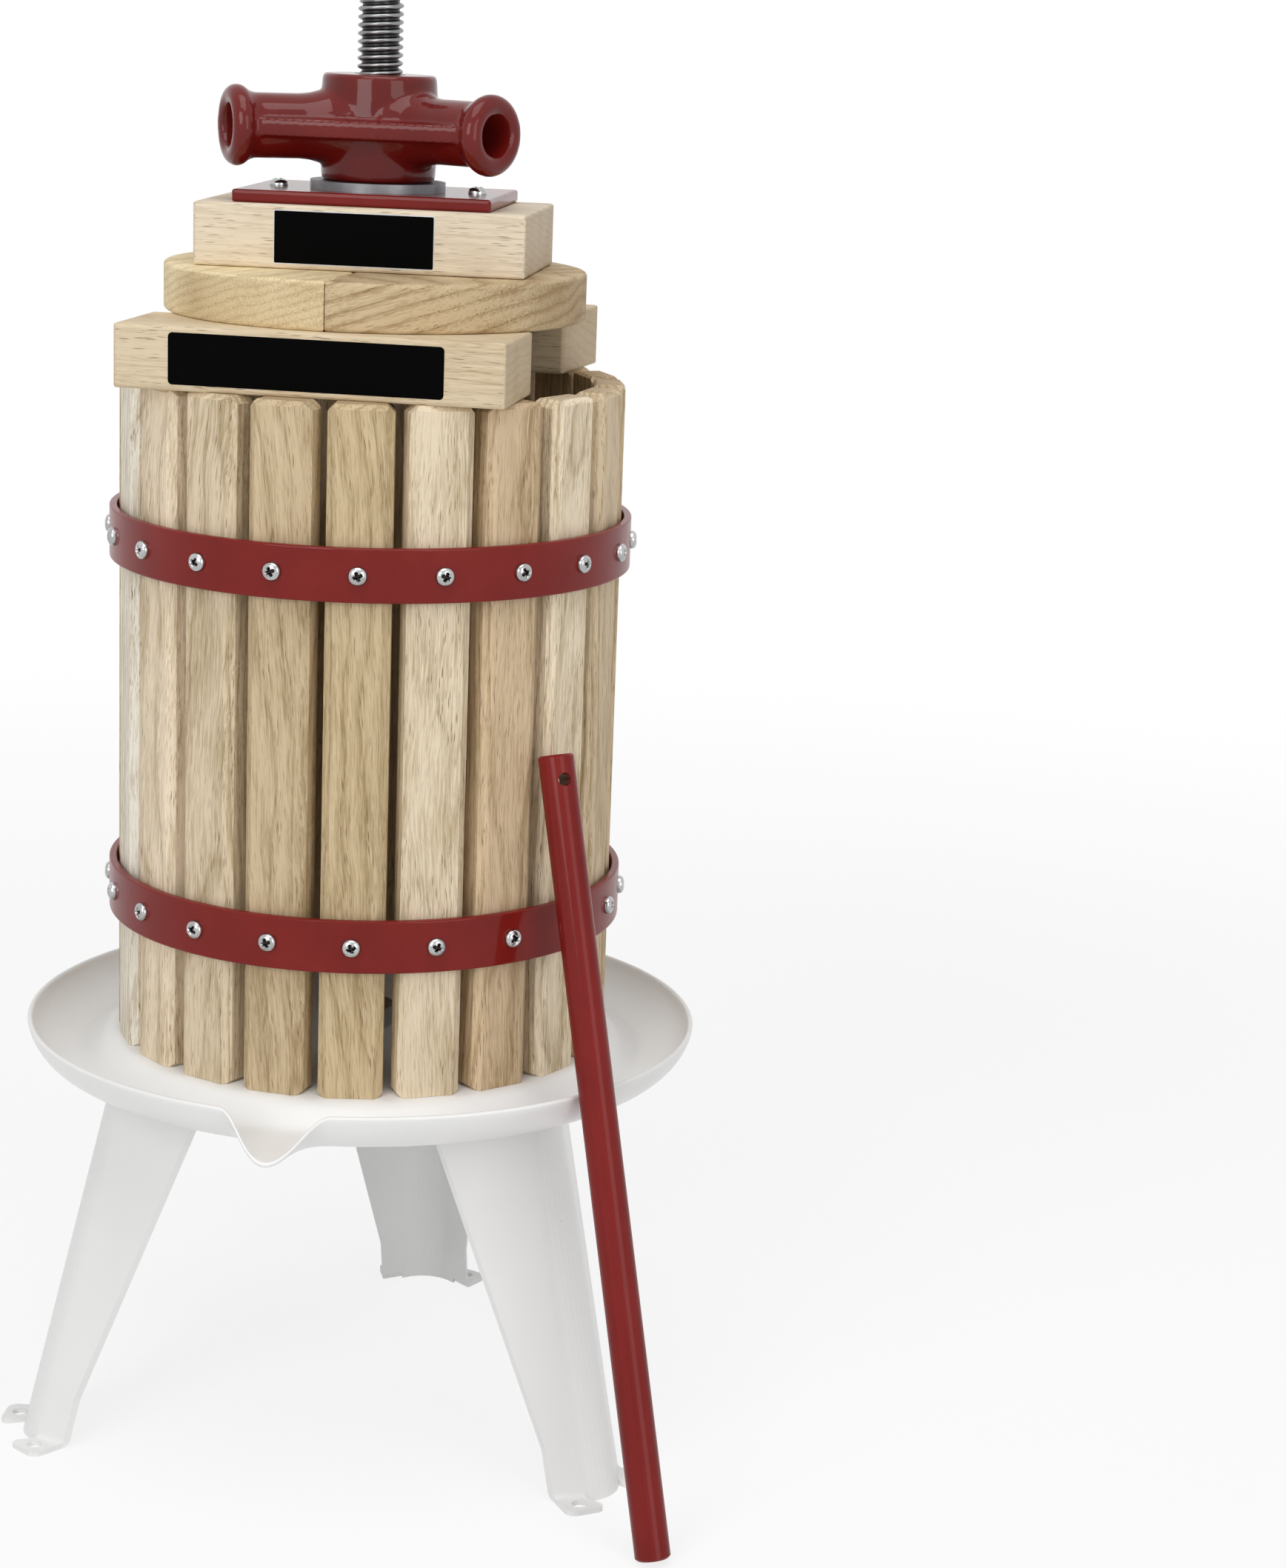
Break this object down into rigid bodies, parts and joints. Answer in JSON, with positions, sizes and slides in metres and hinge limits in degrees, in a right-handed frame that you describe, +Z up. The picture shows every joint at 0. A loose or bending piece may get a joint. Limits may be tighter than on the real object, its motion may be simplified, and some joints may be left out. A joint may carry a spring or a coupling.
{
  "type": "fruit press",
  "caption": "Hand-operated fruit press: slatted wooden basket held by steel hoops on a spouted tray with splayed legs, with threaded spindle, pressing boards, cast nut and lever bar.",
  "frame": {"origin": "on the spindle's axis, in the plane that the feet stand on", "axes": "+Z up along the spindle; the pictured front, with the spout, looks towards -Y; +X is the picture's right"},
  "size_m": [0.2731, 0.2997, 0.56],
  "materials": {
    "stave_wood": "bare oiled oak, straight open pores",
    "block_wood": "bare planed oak",
    "red_paint": "glossy dark red enamel",
    "white_coat": "off-white powder coat with a fine texture",
    "dark_steel": "rolled thread, dark and lightly oiled",
    "zinc_steel": "bright zinc plating",
    "grey_steel": "dull grey steel"
  },
  "bodies": {
    "base": {"tray": "white_coat", "leg_front_left": "white_coat", "leg_front_right": "white_coat", "leg_rear": "white_coat", "spindle": "dark_steel", "base_washer": "zinc_steel", "base_nut": "zinc_steel", "lock_nut": "zinc_steel"},
    "basket": {"stave_01": "stave_wood", "stave_02": "stave_wood", "stave_03": "stave_wood", "stave_04": "stave_wood", "stave_05": "stave_wood", "stave_06": "stave_wood", "stave_07": "stave_wood", "stave_08": "stave_wood", "stave_09": "stave_wood", "stave_10": "stave_wood", "stave_11": "stave_wood", "stave_12": "stave_wood", "stave_13": "stave_wood", "stave_14": "stave_wood", "stave_15": "stave_wood", "stave_16": "stave_wood", "stave_17": "stave_wood", "stave_18": "stave_wood", "stave_19": "stave_wood", "stave_20": "stave_wood", "upper_hoop": "red_paint", "lower_hoop": "red_paint", "upper_hoop_screws": "zinc_steel", "lower_hoop_screws": "zinc_steel"},
    "front_block": {"lower_block_front": "block_wood"},
    "rear_block": {"lower_block_rear": "block_wood"},
    "left_half_disc": {"half_disc_left": "block_wood"},
    "right_half_disc": {"half_disc_right": "block_wood"},
    "press_head": {"top_block": "block_wood", "pressure_plate": "red_paint", "plate_screws": "zinc_steel", "thrust_washer": "grey_steel"},
    "nut": {"press_nut": "red_paint"},
    "lever_bar": {"lever": "red_paint"}
  },
  "joints": [
    {"name": "basket_turn", "type": "hinge", "parent": "base", "child": "basket", "pos_m": [0, 0, 0.1609], "axis": [0, 0, 1], "continuous": true},
    {"name": "front_block_slide", "type": "slide", "parent": "basket", "child": "front_block", "axis": [-0.2419, -0.9703, 0], "range_m": [-0.02, 0.02]},
    {"name": "rear_block_slide", "type": "slide", "parent": "basket", "child": "rear_block", "axis": [0.342, 0.9397, 0], "range_m": [-0.02, 0.02]},
    {"name": "left_half_slide", "type": "slide", "parent": "basket", "child": "left_half_disc", "axis": [-0.9732, 0.23, 0], "range_m": [0, 0.03]},
    {"name": "right_half_slide", "type": "slide", "parent": "basket", "child": "right_half_disc", "axis": [0.9732, -0.23, 0], "range_m": [0, 0.03]},
    {"name": "press_travel", "type": "slide", "parent": "base", "child": "press_head", "axis": [0, 0, 1], "range_m": [0, 0.027]},
    {"name": "nut_turn", "type": "hinge", "parent": "press_head", "child": "nut", "pos_m": [0, 0, 0.5128], "axis": [0, 0, 1], "range_deg": [0, 3241]},
    {"name": "lever_tilt", "type": "hinge", "parent": "base", "child": "lever_bar", "pos_m": [0.10766, -0.14568, 0], "axis": [0.877, 0.4806, 0], "range_deg": [0, 16.55]}
  ],
  "couplings": [
    {"joint": "nut_turn", "follows": "press_travel", "rad_per_m": 2094.4}
  ]
}
